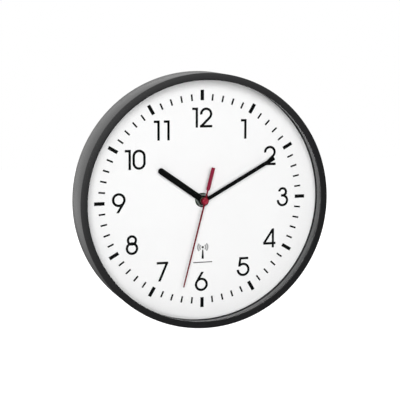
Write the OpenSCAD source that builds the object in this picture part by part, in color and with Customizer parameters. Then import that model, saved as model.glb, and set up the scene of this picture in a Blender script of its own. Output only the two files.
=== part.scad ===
// Radio-controlled wall clock: black round case, white dial, three hands driven by two small motors.
//
// Every piece is drawn as seen from the front on the wall plane: x to the right, y up from the hand
// axis, z from the wall towards the room. hung() then stands it up: the dial faces -Y, +Z is up, and
// the origin is the centre of the hanging hole, on the wall.

/* [Case] */
// Outside diameter of the case at the wall
case_d = 250; // [248:0.5:252]
// Outside diameter of the case at its front edge
case_front_d = 247.6; // [246.6:0.2:248]
// Depth of the case from the wall to its front face
case_depth = 38.1; // [37.6:0.1:40]
// Opening of the front lip, through which the dial is seen
lip_d = 234.8; // [233:0.2:236]
// Thickness of the front lip
lip_t = 2.5; // [2:0.1:2.8]
// Radius of the rounded edges of the lip
lip_round = 0.8; // [0.4:0.1:0.9]
// Number of snap hooks that hold the carrier plate
hooks = 8; // [4:1:12]
// Thickness of the front glass
glass_t = 2; // [1.8:0.1:2.2]

/* [Dial] */
// Distance from the wall to the face of the dial
dial_h = 18.5; // [18.5:0.1:18.5]
// Diameter of the dial sheet
dial_d = 238.8; // [238:0.2:239.4]
// Thickness of the dial sheet
dial_t = 0.3; // [0.2:0.1:0.5]
// Thickness of the printed ink layers
ink_t = 0.08; // [0.05:0.01:0.1]
// Radius at which all the marks begin
mark_in_r = 97.4; // [96:0.2:99]
// Length of an hour mark
hour_mark_l = 9.7; // [8:0.1:11]
// Width of an hour mark
hour_mark_w = 3; // [2:0.1:4]
// Length of a minute mark
minute_mark_l = 5.8; // [4:0.1:7]
// Width of a minute mark
minute_mark_w = 1.05; // [0.8:0.05:1.5]

/* [Numerals] */
// Height of the numerals
digit_h = 18.9; // [18:0.1:20]
// Thickness of their strokes
stroke_w = 1.95; // [1.6:0.05:2.2]

/* [Hands] */
// Angle of the hour hand, clockwise from twelve
hour_angle = 305.1; // [0:0.1:360]
// Angle of the minute hand
minute_angle = 61; // [0:0.1:360]
// Angle of the second hand
second_angle = 194.5; // [0:0.1:360]
// Length of the hour hand from the axis
hour_l = 55; // [45:0.5:70]
// Width of the hour hand
hour_w = 5.8; // [5:0.1:7]
// Length of the minute hand
minute_l = 82.3; // [70:0.1:92]
// Width of the minute hand
minute_w = 3.5; // [3:0.1:4.5]
// Length of the second hand
second_l = 86.6; // [75:0.1:95]
// Width of the second hand beside its hub
second_w = 1.6; // [1.2:0.1:2]
// Width of the second hand at its tip
second_tip_w = 0.8; // [0.6:0.1:1.2]
// Length of the tail of the second hand
tail_l = 33.4; // [25:0.1:40]
// Width of the tail
tail_w = 3.5; // [2.5:0.1:4.5]

/* [Movement] */
// Width of the movement
mv_w = 60; // [60:0.5:62]
// Height of the movement above the hand axis
mv_top = 33; // [33:0.5:35]
// Wall thickness of its case
mv_wall = 1.2; // [1:0.1:1.2]
// Diameter of the threaded bush
bush_d = 8; // [7.6:0.1:8.4]
// Diameter of the battery, size AA
cell_d = 14.5; // [14:0.1:14.5]
// Length of the battery with its positive nub
cell_l = 50.5; // [49.5:0.1:50.5]

/* [Hanging] */
// Height of the hanging hole above the hand axis
hang_h = 96; // [90:0.5:98]
// Radius of the round hole that the head of the wall screw goes through
keyhole_r = 4.5; // [4:0.1:5]
// Half the width of the slot that the shank slides into
slot_r = 2.2; // [1.8:0.1:2.2]
// Length of the slot above the round hole
slot_l = 9; // [8:0.5:10]

/* [Hidden] */

$fn = 96;
eps = 0.01;
// Radial clearance of what turns or slides in a hole, and of what is only put through one
run = 0.06;
loose = 0.1;
// Radius of the upright corners of the moulded parts
corner_r = 3;

// Heights above the wall
glass_back = case_depth - lip_t - glass_t;
plate_front = dial_h - dial_t;
plate_t = 2;
plate_back = plate_front - plate_t;

// Radii of the case and of what is stacked in it
shell_front_t = 2.3;
shell_back_t = 2.4;
stack_play = 0.3;
// How far the front face of the lip falls from its inner to its outer edge
lip_fall = 0.4;
// Gap round the dial sheet, in which the dark carrier plate shows
dial_gap = 0.7;
shell_in_front_r = case_front_d / 2 - shell_front_t;
shell_in_back_r = case_d / 2 - shell_back_t;
stack_r = shell_in_front_r - stack_play;

// Ribs behind the carrier plate
rib_h = 4;
rib_t = 1.6;
rib_inset = 4;
inner_rib_r = 60;
outer_rib_r = stack_r - rib_inset;
radial_ribs = 8;

// The hanger: a shallow cup that reaches the wall, with two ears on bosses of the carrier plate
cup_w = 30;
cup_below = 11;
cup_above = 16;
cup_t = 1.8;
cup_floor_t = 2.4;
ear_x = 21;
ear_half = 5;
ear_h = 9.2;
boss_r = 3.5;
screw_r = 1.45;
screw_head_r = 2.8;
screw_head_t = 1.6;
// What the plate keeps in front of each screw hole, and the gap before the screw's tip
screw_cover_t = 1;
screw_tip_gap = 0.4;

// Two pins that keep the movement from turning on its nut
pin_r = 1.5;
pin_at = [[-22, 26], [22, -22]];

// Widths of the digits, and the gaps in the inscriptions that have two
half = stroke_w / 2;
one_w = 5.4;
two_w = 12;
three_w = 11.7;
four_w = 13.1;
five_w = 13;
six_w = 13;
seven_w = 11.2;
eight_w = 12;
zero_w = 12.5;
ten_gap = 2;
twelve_gap = 2.5;
eleven_pitch = 9.9;

// Heights of the hands above the wall, up to the front faces of their blades
hour_top = dial_h + 5.2;
minute_top = dial_h + 7.9;
second_top = dial_h + 10.2;
blade_t = 0.4;

// The collets that the hour and minute hands are riveted to, which are pressed on their pipes
collet_wall = 0.5;
collet_flange = 0.7;
hour_collet = [dial_h + 3.8, hour_top + 0.6];
minute_collet = [dial_h + 6.2, minute_top + 0.3];

// The second hand's hub: a tube pressed on the arbor, with a low round cap in front of the blade
hub_tube_r = 1.3;
hub_back = minute_top + 0.5;
cap_r = 2.8;
cap_t = 1.7;
arbor_in_cap = 0.6;

// Radii of the three coaxial drives and of the bush round them
arbor_r = 0.6;
minute_pipe_r = 1.5;
hour_pipe_r = 2.4;
bush_top = dial_h + 3.4;
washer_r = 7;
washer_t = 0.6;
nut_t = 2.2;

// Layers of the gear trains, [lowest, highest] above the wall, from the rear to the front
mid_layer = [5.4, 6.4];
second_layer = [7, 8.2];
motor_layer = [8.8, 10];
minute_layer = [10.6, 11.8];
cannon_layer = [12.2, 13.4];
hour_layer = [13.8, 15];
stator_layer = [11, 12];
magnet_layer = [10.7, 13.5];

// Outline of a moulded gear: each tooth as [height over the pitch circle in modules, place in pitches]
tooth_form = [[-1.15, -0.29], [0.8, -0.12], [0.8, 0.12], [-1.15, 0.29]];

// Tooth modules: motion work, the wheels on the hand axis, the wheels beside the rotors
work_m = 0.4;
axis_m = 0.35;
motor_m = 0.3;
wheel_teeth = 60;
cannon_teeth = 15;
reversing_teeth = 45;
reversing_pinion_teeth = 12;
hour_teeth = 48;
third_pinion_teeth = 10;
intermediate_pinion_teeth = 12;
rotor_teeth = 10;

// Places of the arbors beside the hand axis
reversing_at = [0, work_m * (cannon_teeth + reversing_teeth) / 2];
third_at = [-axis_m * (wheel_teeth + third_pinion_teeth) / 2, 0];
intermediate_at = [axis_m * (wheel_teeth + intermediate_pinion_teeth) / 2, 0];
rotor_reach = motor_m * (wheel_teeth + rotor_teeth) / 2;
minute_rotor_dir = 235;
second_rotor_dir = -55;
minute_rotor_at = third_at + rotor_reach * [cos(minute_rotor_dir), sin(minute_rotor_dir)];
second_rotor_at = intermediate_at + rotor_reach * [cos(second_rotor_dir), sin(second_rotor_dir)];

// Turns that put each gear in mesh with the one that it meets, from the fixed wheels outwards
reversing_turn = mesh_turn(cannon_teeth, 0, reversing_teeth, 90);
hour_turn = mesh_turn(reversing_pinion_teeth, 0, hour_teeth, -90);
third_turn = mesh_turn(wheel_teeth, 0, third_pinion_teeth, 180);
intermediate_turn = mesh_turn(wheel_teeth, 0, intermediate_pinion_teeth, 0);
minute_rotor_turn = mesh_turn(wheel_teeth, 0, rotor_teeth, minute_rotor_dir);
second_rotor_turn = mesh_turn(wheel_teeth, 0, rotor_teeth, second_rotor_dir);

// Movement case
mv_floor = 1;
mv_front = plate_back;
mv_inside = mv_front - mv_floor;
mv_split = -28;
cover_back = 0.6;
cover_t = 1.2;
cover_front = cover_back + cover_t;
cell_gap = 1.15;
cell_y = mv_split - cell_gap - cell_d / 2;
cell_h = mv_inside - 0.3 - cell_d / 2;
mv_bottom = cell_y - cell_d / 2 - cell_gap - mv_wall;
inner_x = mv_w / 2 - mv_wall;
post_r = 1.6;
post_at = [[-25.5, 20], [25.5, 20], [-25.5, 4], [25.5, 4]];
stud_r = 0.8;
plate_corner_r = 2;

// Bosses on the floor of the front case that carry the front pivots
wheel_boss_r = 1.3;
wheel_boss_tip = 12.6;
rotor_boss_r = 1.2;
rotor_boss_tip = magnet_layer[1] + 0.6;

// Motors
magnet_r = 3;
rotor_hub_r = 0.8;
pivot_r = 0.4;
journal_r = 0.5;
frame_half_w = 8.5;
frame_leg_w = 2;
frame_drop = 10;
core_w = 3.5;
core_y = -frame_drop - core_w / 2;
stator_mid = (stator_layer[0] + stator_layer[1]) / 2;
winding_r = 3.3;
bobbin_half_l = frame_half_w - frame_leg_w - 0.1;
flange_t = 0.8;
flange_half_w = 3.4;
sleeve_t = 0.5;
core_slack = 0.1;

// Board, and the studs that it is glued to
board_layer = [6.6, 7.6];
board_stud_x = 5;
board_stud_y = -19.5;
board_stud_r = 1.4;
button_x = 16;
button_y = -21;
button_r = 2;

// Antenna, and the two cradles that hold its rod
rod_y = 27.3;
rod_h = 9;
rod_r = 3.5;
rod_l = 50;
winding_half_l = 14;
winding_t = 0.7;
cradle_x = 20;
cradle_half_w = 1.5;
cradle_half_h = 3.6;

// Contact strips, and their necks that pass the wall between the bay and the board
contact_t = 0.4;
contact_gap = 0.3;
strip_half_w = 6.6;
strip_layer = [3, 14];
neck_layer = [3, 6];
neck_play = 0.2;

function polar(r, a) = [r * cos(a), r * sin(a)];

// Turn of a gear of n2 teeth, in direction dir from a gear of n1 teeth that is itself turned by turn1
function mesh_turn(n1, turn1, n2, dir) =
    dir + 180 - 360 / n2 * (0.5 - (dir - turn1) * n1 / 360);

// Points of a quarter round from angle a to angle b, in degrees
function round_corner(cx, cy, r, a, b, steps = 6) =
    [for (i = [0 : steps]) [cx, cy] + polar(r, a + (b - a) * i / steps)];

// Stands a piece up from the wall plane
module hung() {
    translate([0, 0, -hang_h]) rotate([90, 0, 0]) children();
}

// Puts a piece into a layer
module from(h) {
    translate([0, 0, h]) children();
}

module rod(r, low, high) {
    from(low) cylinder(r = r, h = high - low);
}

// A flat block between two corners in x and y, and two heights
module block(x0, y0, x1, y1, low, high) {
    translate([x0, y0, low]) cube([x1 - x0, y1 - y0, high - low]);
}

// The same with four rounded upright edges
module round_block(x0, y0, x1, y1, r, low, high) {
    block(x0 + r, y0, x1 - r, y1, low, high);
    block(x0, y0 + r, x1, y1 - r, low, high);
    for (x = [x0 + r, x1 - r], y = [y0 + r, y1 - r])
        translate([x, y, 0]) rod(r, low, high);
}

// Case

module case_rim() {
    front_r = case_front_d / 2;
    lip_r = lip_d / 2;
    back_r = case_d / 2;
    lip_back = case_depth - lip_t;
    foot_chamfer = 0.5;
    color([0.13, 0.13, 0.14]) hung() {
        rotate_extrude($fn = 180) polygon(concat(
            [
                [shell_in_back_r, 0],
                [back_r - foot_chamfer, 0],
                [back_r, foot_chamfer]
            ],
            round_corner(front_r - lip_round, case_depth - lip_fall - lip_round, lip_round, 0, 90),
            round_corner(lip_r + lip_round, case_depth - lip_round, lip_round, 90, 180),
            [
                [lip_r, lip_back],
                [shell_in_front_r, lip_back]
            ]
        ));
        for (i = [0 : hooks - 1]) rotate([0, 0, (i + 0.5) * 360 / hooks]) snap_hook();
    }
}

// A wedge on the inner wall that the carrier plate springs past
module snap_hook() {
    reach = 0.9;
    nose_h = 1;
    ramp_h = 5;
    hook_angle = 5;
    catch_h = plate_back - 0.1;
    root_r = shell_in_back_r + 0.6;
    rotate([0, 0, -hook_angle / 2]) rotate_extrude(angle = hook_angle) polygon([
        [root_r, catch_h],
        [stack_r - reach, catch_h],
        [stack_r - reach, catch_h - nose_h],
        [root_r, catch_h - ramp_h]
    ]);
}

module front_glass() {
    color([0.9, 0.95, 0.95, 0.25]) hung() rod(stack_r, glass_back, glass_back + glass_t);
}

module spacer_ring() {
    behind_lip = 0.8;
    foot_r = dial_d / 2 + dial_gap;
    head_r = lip_d / 2 + behind_lip;
    color([0.3, 0.3, 0.31]) hung() rotate_extrude($fn = 180) polygon([
        [foot_r, plate_front],
        [stack_r, plate_front],
        [stack_r, glass_back],
        [head_r, glass_back]
    ]);
}

// Dial and its print

module dial_sheet() {
    color([0.96, 0.96, 0.96]) hung() difference() {
        rod(dial_d / 2, plate_front, dial_h);
        rod(bush_d / 2 + loose, plate_front - 1, dial_h + 1);
    }
}

module mark(length, width) {
    block(-width / 2, mark_in_r, width / 2, mark_in_r + length, dial_h, dial_h + ink_t);
}

module hour_marks() {
    color([0.1, 0.1, 0.1]) hung()
        for (i = [0 : 11]) rotate([0, 0, -30 * i]) mark(hour_mark_l, hour_mark_w);
}

module minute_marks() {
    color([0.1, 0.1, 0.1]) hung()
        for (i = [0 : 59]) if (i % 5 != 0) rotate([0, 0, -6 * i]) mark(minute_mark_l, minute_mark_w);
}

// A straight stroke of ink from p to q
module stroke(p, q) {
    along = q - p;
    translate([p[0], p[1], dial_h]) rotate([0, 0, atan2(along[1], along[0])])
        translate([0, -stroke_w / 2, 0]) cube([norm(along), stroke_w, ink_t]);
}

// A round stroke about c, whose middle line has the radius r, counter-clockwise from a to b
module bow(c, r, a, b) {
    translate([c[0], c[1], dial_h]) rotate([0, 0, a])
        rotate_extrude(angle = b - a) translate([r - stroke_w / 2, 0]) square([stroke_w, ink_t]);
}

module ring(c, r) {
    translate([c[0], c[1], dial_h]) difference() {
        cylinder(r = r + stroke_w / 2, h = ink_t);
        translate([0, 0, -1]) cylinder(r = r - stroke_w / 2, h = 2);
    }
}

// Cuts the ends of slanted strokes level with the base line and the top line
module level_ends() {
    intersection() {
        block(-1, 0, 15, digit_h, dial_h - 1, dial_h + 1);
        union() children();
    }
}

module one() {
    stroke([one_w - half, 0], [one_w - half, digit_h]);
    stroke([0, digit_h - half], [one_w, digit_h - half]);
}

module two() {
    r = two_w / 2 - half;
    c = [two_w / 2, digit_h - two_w / 2];
    foot = [half * 1.1, half];
    reach = norm(c - foot);
    towards = atan2(c[1] - foot[1], c[0] - foot[0]);
    slant = towards - asin(r / reach);
    touch = foot + polar(sqrt(reach * reach - r * r), slant);
    bow(c, r, slant - 90, 183);
    level_ends() stroke(foot - polar(1, slant), touch);
    stroke([0, half], [two_w, half]);
}

module three() {
    low_r = three_w / 2 - half;
    joint_h = 2 * low_r + half;
    high_r = (digit_h - half - joint_h) / 2;
    x = three_w / 2;
    stub = 1.4;
    bow([x, half + low_r], low_r, -183, 90);
    bow([x, joint_h + high_r], high_r, -90, 168);
    stroke([x - stub, joint_h], [x + eps, joint_h]);
}

module four() {
    stem_x = 10.5;
    bar_y = 4.2;
    stroke([stem_x, 0], [stem_x, digit_h]);
    stroke([0.6, bar_y], [four_w, bar_y]);
    stroke([stem_x - 0.4, digit_h - half], [half, bar_y]);
}

module five() {
    r = 5.6;
    c = [6.4, r + half];
    heel = c + polar(r, 137);
    bow(c, r, -176, 137);
    stroke([3.6, digit_h], heel + [0, -half * 0.6]);
    stroke([3.3, digit_h - half], [11.5, digit_h - half]);
}

module six() {
    r = six_w / 2 - half;
    c = [six_w / 2, six_w / 2];
    top = [7.9, digit_h + 0.4];
    reach = norm(top - c);
    towards = atan2(top[1] - c[1], top[0] - c[0]);
    touch = c + polar(r, towards + acos(r / reach));
    ring(c, r);
    level_ends() stroke(touch, top);
}

module seven() {
    stroke([0, digit_h - half], [seven_w, digit_h - half]);
    level_ends() stroke([seven_w - 1.05, digit_h - half], [2, -1]);
}

module eight() {
    low_r = eight_w / 2 - half;
    high_r = low_r - 1.1;
    x = eight_w / 2;
    ring([x, low_r + half], low_r);
    ring([x, digit_h - half - high_r], high_r);
}

module nine() {
    translate([six_w, digit_h, 2 * dial_h + ink_t]) rotate([0, 0, 180]) mirror([0, 0, 1]) six();
}

module zero() {
    r = zero_w / 2 - half;
    low = zero_w / 2;
    high = digit_h - low;
    bow([low, low], r, 180, 360);
    bow([low, high], r, 0, 180);
    for (x = [half, zero_w - half]) stroke([x, low - eps], [x, high + eps]);
}

// Centres an inscription of the given width on a point of the dial
module inscription(centre, width) {
    translate([centre[0] - width / 2, centre[1] - digit_h / 2, 0]) children();
}

module numerals() {
    color([0.1, 0.1, 0.1]) hung() {
        inscription([42.5, 68.7], one_w) one();
        inscription([70.1, 41.8], two_w) two();
        inscription([84.1, 0], three_w) three();
        inscription([70.3, -41.3], four_w) four();
        inscription([43, -68.8], five_w) five();
        inscription([-0.7, -81.3], six_w) six();
        inscription([-40.3, -69.1], seven_w) seven();
        inscription([-70.7, -41.3], eight_w) eight();
        inscription([-83.3, 0], six_w) nine();
        inscription([-66.8, 41.2], one_w + ten_gap + zero_w) {
            one();
            translate([one_w + ten_gap, 0, 0]) zero();
        }
        inscription([-40.6, 68.7], eleven_pitch + one_w) {
            one();
            translate([eleven_pitch, 0, 0]) one();
        }
        inscription([0, 80.5], one_w + twelve_gap + two_w) {
            one();
            translate([one_w + twelve_gap, 0, 0]) two();
        }
    }
}

// A mast with a dot and two waves on each side, over a plain rule
module radio_symbol() {
    x = 0.7;
    dot_y = -47;
    dot_r = 1;
    wave_r = [3.1, 5.1];
    wave_w = 1.1;
    wave_angle = 84;
    mast_low = -58.3;
    mast_high = -49.6;
    foot_half_w = 0.95;
    head_half_w = 0.4;
    rule_y = -62;
    rule_w = 19;
    rule_t = 0.6;
    color([0.45, 0.45, 0.45]) hung() translate([x, 0, 0]) {
        translate([0, dot_y, 0]) {
            rod(dot_r, dial_h, dial_h + ink_t);
            for (r = wave_r, side = [0, 180]) rotate([0, 0, side - wave_angle / 2]) from(dial_h)
                rotate_extrude(angle = wave_angle) translate([r - wave_w / 2, 0]) square([wave_w, ink_t]);
        }
        from(dial_h) linear_extrude(ink_t) polygon([
            [-foot_half_w, mast_low], [foot_half_w, mast_low],
            [head_half_w, mast_high], [-head_half_w, mast_high]
        ]);
        block(-rule_w / 2, rule_y - rule_t / 2, rule_w / 2, rule_y + rule_t / 2, dial_h, dial_h + ink_t);
    }
}

// Carrier and hanger

module annulus(outer, inner, low, high) {
    difference() {
        rod(outer, low, high);
        rod(inner, low - 1, high + 1);
    }
}

module carrier_plate() {
    rib_back = plate_back - rib_h;
    color([0.11, 0.11, 0.12]) hung() difference() {
        union() {
            rod(stack_r, plate_back, plate_front);
            annulus(inner_rib_r + rib_t, inner_rib_r, rib_back, plate_back + eps);
            annulus(outer_rib_r + rib_t, outer_rib_r, rib_back, plate_back + eps);
            for (i = [0 : radial_ribs - 1]) rotate([0, 0, (i + 0.5) * 360 / radial_ribs])
                block(inner_rib_r + rib_t / 2, -rib_t / 2, outer_rib_r + rib_t / 2, rib_t / 2,
                    rib_back, plate_back + eps);
            for (side = [-1, 1]) translate([side * ear_x, hang_h, 0])
                rod(boss_r, ear_h + cup_t, plate_back + eps);
        }
        rod(bush_d / 2 + loose, plate_back - 1, plate_front + 1);
        for (side = [-1, 1]) translate([side * ear_x, hang_h, 0])
            rod(screw_r, ear_h, plate_front - screw_cover_t);
        for (p = pin_at) translate([p[0], p[1], 0])
            rod(pin_r + loose, plate_back - 1, plate_front + 1);
    }
}

module hanger_bracket() {
    x = cup_w / 2;
    low = hang_h - cup_below;
    high = hang_h + cup_above;
    color([0.12, 0.12, 0.13]) hung() difference() {
        union() {
            round_block(-x, low, x, high, corner_r, 0, plate_back);
            round_block(-ear_x - ear_half, hang_h - ear_half, ear_x + ear_half, hang_h + ear_half,
                corner_r, ear_h, ear_h + cup_t);
        }
        block(-x + cup_t, low + cup_t, x - cup_t, high - cup_t, cup_floor_t, plate_back + 1);
        translate([0, hang_h, 0]) {
            rod(keyhole_r, -1, cup_floor_t + 1);
            block(-slot_r, 0, slot_r, slot_l, -1, cup_floor_t + 1);
            translate([0, slot_l, 0]) rod(slot_r, -1, cup_floor_t + 1);
        }
        for (side = [-1, 1]) translate([side * ear_x, hang_h, 0])
            rod(screw_r, ear_h - 1, ear_h + cup_t + 1);
    }
}

module hanger_screws() {
    recess_half_l = 1.7;
    recess_half_w = 0.3;
    recess_deep = 0.8;
    head_back = ear_h - screw_head_t;
    color("silver") hung() for (side = [-1, 1]) translate([side * ear_x, hang_h, 0]) difference() {
        union() {
            rod(screw_head_r, head_back, ear_h);
            rod(screw_r, ear_h - eps, plate_front - screw_cover_t - screw_tip_gap);
        }
        for (turn = [0, 90]) rotate([0, 0, turn]) block(-recess_half_l, -recess_half_w,
            recess_half_l, recess_half_w, head_back - 1, head_back + recess_deep);
    }
}

// Washer and nut that clamp the movement to the dial

module bush_washer() {
    color([0.6, 0.62, 0.6]) hung()
        annulus(washer_r, bush_d / 2 + loose, dial_h, dial_h + washer_t);
}

module bush_nut() {
    across_corners = 12.8;
    low = dial_h + washer_t;
    color([0.62, 0.64, 0.62]) hung() difference() {
        from(low) cylinder(d = across_corners, h = nut_t, $fn = 6);
        rod(bush_d / 2, low - 1, low + nut_t + 1);
    }
}

// Hands

module hour_hand() {
    low = hour_top - blade_t;
    hub_r = 4.5;
    color([0.05, 0.05, 0.05]) hung() rotate([0, 0, -hour_angle]) difference() {
        union() {
            rod(hub_r, low, hour_top);
            block(-hour_w / 2, 0, hour_w / 2, hour_l - hour_w / 2, low, hour_top);
            translate([0, hour_l - hour_w / 2, 0]) rod(hour_w / 2, low, hour_top);
        }
        rod(hour_pipe_r + collet_wall, low - 1, hour_top + 1);
    }
}

// A turned sleeve on a pipe: its neck goes through the blade, and a flange on each side holds it
module collet(pipe_r, blade_front, ends) {
    neck_r = pipe_r + collet_wall;
    flange_r = neck_r + collet_flange;
    rotate_extrude() polygon([
        [pipe_r, ends[0]],
        [flange_r, ends[0]],
        [flange_r, blade_front - blade_t],
        [neck_r, blade_front - blade_t],
        [neck_r, blade_front],
        [flange_r, blade_front],
        [flange_r, ends[1]],
        [pipe_r, ends[1]]
    ]);
}

module hour_hand_collet() {
    color([0.55, 0.5, 0.42]) hung() collet(hour_pipe_r, hour_top, hour_collet);
}

module minute_hand_collet() {
    color([0.55, 0.5, 0.42]) hung() collet(minute_pipe_r, minute_top, minute_collet);
}

module minute_hand() {
    low = minute_top - blade_t;
    hub_r = 3.4;
    end_r = 0.9;
    color([0.05, 0.05, 0.05]) hung() rotate([0, 0, -minute_angle]) difference() {
        union() {
            rod(hub_r, low, minute_top);
            round_block(-minute_w / 2, -end_r, minute_w / 2, minute_l, end_r, low, minute_top);
        }
        rod(minute_pipe_r + collet_wall, low - 1, minute_top + 1);
    }
}

module second_hand() {
    low = second_top - blade_t;
    tail_from = 10.4;
    neck_w = 1.3;
    shoulder = 1.3;
    disc_r = 3.6;
    color([0.62, 0.08, 0.2]) hung() rotate([0, 0, -second_angle]) difference() {
        union() {
            rod(disc_r, low, second_top);
            from(low) linear_extrude(blade_t) polygon([
                [-second_w / 2, 0],
                [second_w / 2, 0],
                [second_tip_w / 2, second_l],
                [-second_tip_w / 2, second_l]
            ]);
            from(low) linear_extrude(blade_t) polygon([
                [-neck_w / 2, 0],
                [-neck_w / 2, -tail_from],
                [-tail_w / 2, -tail_from - shoulder],
                [-tail_w / 2, -tail_l],
                [tail_w / 2, -tail_l],
                [tail_w / 2, -tail_from - shoulder],
                [neck_w / 2, -tail_from],
                [neck_w / 2, 0]
            ]);
        }
        rod(hub_tube_r, low - 1, second_top + 1);
    }
}

module second_hand_hub() {
    cap_round = 0.6;
    color([0.7, 0.1, 0.2]) hung() difference() {
        rotate_extrude() polygon(concat(
            [
                [0, hub_back],
                [hub_tube_r, hub_back],
                [hub_tube_r, second_top],
                [cap_r, second_top]
            ],
            round_corner(cap_r - cap_round, second_top + cap_t - cap_round, cap_round, 0, 90),
            [[0, second_top + cap_t]]
        ));
        rod(arbor_r, hub_back - 1, second_top + arbor_in_cap);
    }
}

// Gears

module gear(teeth, m, layer, turn = 0) {
    pitch_r = teeth * m / 2;
    from(layer[0]) rotate([0, 0, turn]) linear_extrude(layer[1] - layer[0])
        polygon([
            for (i = [0 : teeth - 1], p = tooth_form) polar(pitch_r + p[0] * m, (i + p[1]) * 360 / teeth)
        ]);
}

// A wheel's web is thinned by a groove between its hub and its teeth
module web_groove(teeth, m, layer, hub_r) {
    rim_r = teeth * m / 2 - 3.2 * m;
    groove_t = 0.3;
    for (low = [layer[0] - 1, layer[1] - groove_t]) annulus(rim_r, hub_r, low, low + 1 + groove_t);
}

module hour_wheel() {
    color("ivory") hung() difference() {
        union() {
            difference() {
                gear(hour_teeth, work_m, hour_layer, hour_turn);
                web_groove(hour_teeth, work_m, hour_layer, 3.4);
            }
            rod(hour_pipe_r, hour_layer[0], hour_top + 0.2);
        }
        rod(minute_pipe_r + 0.08, hour_layer[0] - 1, hour_top + 1);
    }
}

module minute_wheel() {
    color("white") hung() difference() {
        union() {
            difference() {
                gear(wheel_teeth, axis_m, minute_layer);
                web_groove(wheel_teeth, axis_m, minute_layer, 3);
            }
            gear(cannon_teeth, work_m, cannon_layer);
            rod(2.2, minute_layer[0], cannon_layer[1]);
            rod(minute_pipe_r, motor_layer[0] + 0.2, minute_top + 0.2);
        }
        rod(arbor_r + run, motor_layer[0] - 1, minute_top + 1);
    }
}

module reversing_wheel() {
    color("white") hung() translate([reversing_at[0], reversing_at[1], 0]) difference() {
        union() {
            difference() {
                gear(reversing_teeth, work_m, cannon_layer, reversing_turn);
                web_groove(reversing_teeth, work_m, cannon_layer, 3);
            }
            gear(reversing_pinion_teeth, work_m, hour_layer);
            rod(1.7, cannon_layer[0], hour_layer[1]);
        }
        rod(stud_r + run, cannon_layer[0] - 1, hour_layer[1] + 1);
    }
}

// A wheel and a pinion on one arbor with a journal at each end
module arbor_wheel(wheel_layer, pinion_teeth, pinion_layer, pinion_turn) {
    axle_r = 0.9;
    groove_from_r = 2.2;
    difference() {
        gear(wheel_teeth, motor_m, wheel_layer);
        web_groove(wheel_teeth, motor_m, wheel_layer, groove_from_r);
    }
    gear(pinion_teeth, axis_m, pinion_layer, pinion_turn);
    rod(axle_r, min(wheel_layer[0], pinion_layer[0]), max(wheel_layer[1], pinion_layer[1]));
    rod(journal_r, mid_layer[0] - 0.4, wheel_boss_tip + 1.9);
}

module third_wheel() {
    color("white") hung() translate([third_at[0], third_at[1], 0])
        arbor_wheel(motor_layer, third_pinion_teeth, minute_layer, third_turn);
}

module intermediate_wheel() {
    color("white") hung() translate([intermediate_at[0], intermediate_at[1], 0])
        arbor_wheel(motor_layer, intermediate_pinion_teeth, second_layer, intermediate_turn);
}

module second_wheel() {
    color("white") hung() difference() {
        union() {
            difference() {
                gear(wheel_teeth, axis_m, second_layer);
                web_groove(wheel_teeth, axis_m, second_layer, 3);
            }
            rod(1.8, second_layer[0], second_layer[1] + 0.3);
        }
        rod(arbor_r, second_layer[0] - 1, second_layer[1] + 1);
    }
}

module second_arbor() {
    color("silver") hung() rod(arbor_r, mid_layer[0] - 0.6, second_top + arbor_in_cap);
}

// Motors

module at_second_rotor() {
    hung() translate([second_rotor_at[0], second_rotor_at[1], 0]) children();
}

module at_minute_rotor() {
    hung() translate([minute_rotor_at[0], minute_rotor_at[1], 0]) children();
}

module rotor_pinion(turn) {
    low = motor_layer[0] - 0.2;
    gear(rotor_teeth, motor_m, [low, motor_layer[1] + 0.2], turn);
    rod(rotor_hub_r, low, magnet_layer[1] + 0.3);
    rod(pivot_r, mid_layer[0] - 0.4, mv_inside - 0.3);
}

module rotor_magnet() {
    annulus(magnet_r, rotor_hub_r, magnet_layer[0], magnet_layer[1]);
}

// A flat iron frame: the rotor turns in a hole of its upper bar, and the coil sits on its lower bar
module stator() {
    x = frame_half_w;
    low = stator_layer[0];
    high = stator_layer[1];
    bar_half_w = 2.2;
    pole_t = 2;
    air_gap = 0.4;
    difference() {
        union() {
            rod(magnet_r + air_gap + pole_t, low, high);
            block(-x, -bar_half_w, x, bar_half_w, low, high);
            for (leg_x = [-x, x - frame_leg_w])
                block(leg_x, -frame_drop - core_w, leg_x + frame_leg_w, 0, low, high);
            block(-x, -frame_drop - core_w, x, -frame_drop, low, high);
        }
        rod(magnet_r + air_gap, low - 1, high + 1);
    }
}

module coil_bobbin() {
    core_half = core_w / 2 + core_slack;
    deep = (stator_layer[1] - stator_layer[0]) / 2 + core_slack;
    translate([0, core_y, stator_mid]) difference() {
        union() {
            for (low = [-bobbin_half_l, bobbin_half_l - flange_t]) block(low, -flange_half_w,
                low + flange_t, flange_half_w, -flange_half_w, flange_half_w);
            block(-bobbin_half_l, -core_half - sleeve_t, bobbin_half_l, core_half + sleeve_t,
                -deep - sleeve_t, deep + sleeve_t);
        }
        block(-bobbin_half_l - 1, -core_half, bobbin_half_l + 1, core_half, -deep, deep);
    }
}

module coil_winding() {
    x = bobbin_half_l - flange_t;
    wide = core_w / 2 + core_slack + sleeve_t;
    deep = (stator_layer[1] - stator_layer[0]) / 2 + core_slack + sleeve_t;
    translate([0, core_y, stator_mid]) difference() {
        translate([-x, 0, 0]) rotate([0, 90, 0]) cylinder(r = winding_r, h = 2 * x);
        block(-x - 1, -wide, x + 1, wide, -deep, deep);
    }
}

module second_rotor_pinion() {
    color("white") at_second_rotor() rotor_pinion(second_rotor_turn);
}

module minute_rotor_pinion() {
    color("white") at_minute_rotor() rotor_pinion(minute_rotor_turn);
}

module second_rotor_magnet() {
    color([0.25, 0.25, 0.27]) at_second_rotor() rotor_magnet();
}

module minute_rotor_magnet() {
    color([0.25, 0.25, 0.27]) at_minute_rotor() rotor_magnet();
}

module second_stator() {
    color("silver") at_second_rotor() stator();
}

module minute_stator() {
    color("silver") at_minute_rotor() stator();
}

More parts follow.
